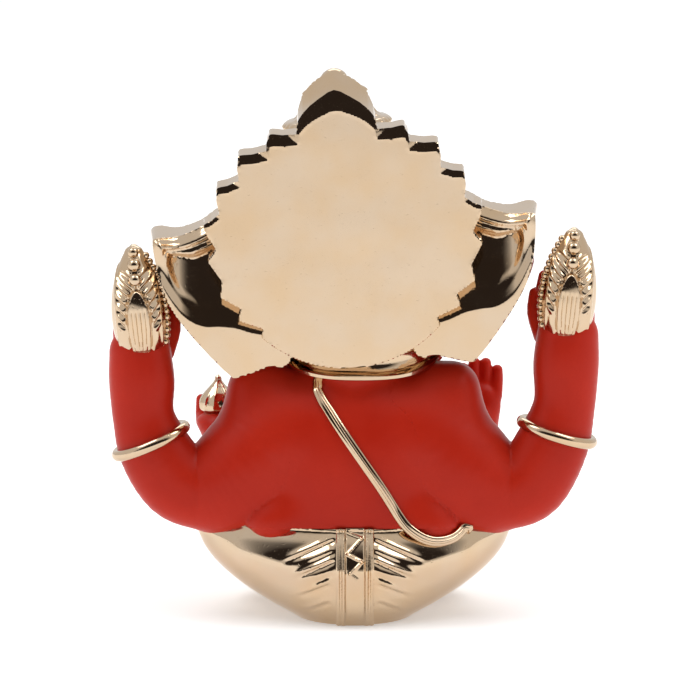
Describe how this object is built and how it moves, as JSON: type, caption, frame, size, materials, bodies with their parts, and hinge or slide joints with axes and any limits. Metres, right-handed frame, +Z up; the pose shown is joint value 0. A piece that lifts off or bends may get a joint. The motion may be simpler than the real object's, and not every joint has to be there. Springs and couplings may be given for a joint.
{
  "type": "ganesha idol",
  "caption": "Seated four-armed elephant-headed idol in red and gold with a serrated halo, free-standing on a flat base.",
  "frame": {"origin": "centre of the filler plug's underside, on the plane the idol rests on", "axes": "+Z up, the idol faces -Y, +X is the idol's own left"},
  "size_m": [0.0632, 0.0337, 0.0727],
  "materials": {
    "gold_plate": "bright pale gold vacuum plating over cast resin, mirror-like with fine polishing haze",
    "red_lacquer": "soft-touch matte vermilion lacquer over cast resin",
    "ivory_enamel": "glossy ivory enamel",
    "black_enamel": "glossy black enamel",
    "green_stone": "polished green paste stone",
    "plug_resin": "sanded resin filler plug",
    "dowel_steel": "plain drawn steel dowel"
  },
  "bodies": {
    "root": {"filler_plug": "plug_resin", "dhoti_seat": "gold_plate", "back_pleat": "gold_plate", "leg_left": "gold_plate", "leg_right": "gold_plate", "front_apron": "gold_plate", "foot_left": "red_lacquer", "foot_right": "red_lacquer", "anklet_left": "gold_plate", "anklet_right": "gold_plate", "torso": "red_lacquer", "sacred_thread": "gold_plate", "necklace": "gold_plate", "pendant": "gold_plate", "rear_arm_left": "red_lacquer", "rear_arm_right": "red_lacquer", "rear_bangle_left": "gold_plate", "rear_bangle_right": "gold_plate", "lotus_bud_left": "gold_plate", "lotus_bud_right": "gold_plate", "front_arm_left": "red_lacquer", "front_arm_right": "red_lacquer", "front_bangle_left": "gold_plate", "front_bangle_right": "gold_plate", "modak": "gold_plate", "head": "red_lacquer", "ear_left": "gold_plate", "ear_right": "gold_plate", "ear_inner_left": "red_lacquer", "ear_inner_right": "red_lacquer", "tusk_left": "ivory_enamel", "tusk_right": "ivory_enamel", "eyes": "ivory_enamel", "pupils": "black_enamel", "forehead_mark": "gold_plate", "halo_plate": "gold_plate", "crown": "gold_plate", "crown_stones": "green_stone", "waist_dowel": "dowel_steel", "neck_dowel": "dowel_steel", "shoulder_dowels": "dowel_steel", "halo_dowels": "dowel_steel"}
  },
  "joints": []
}
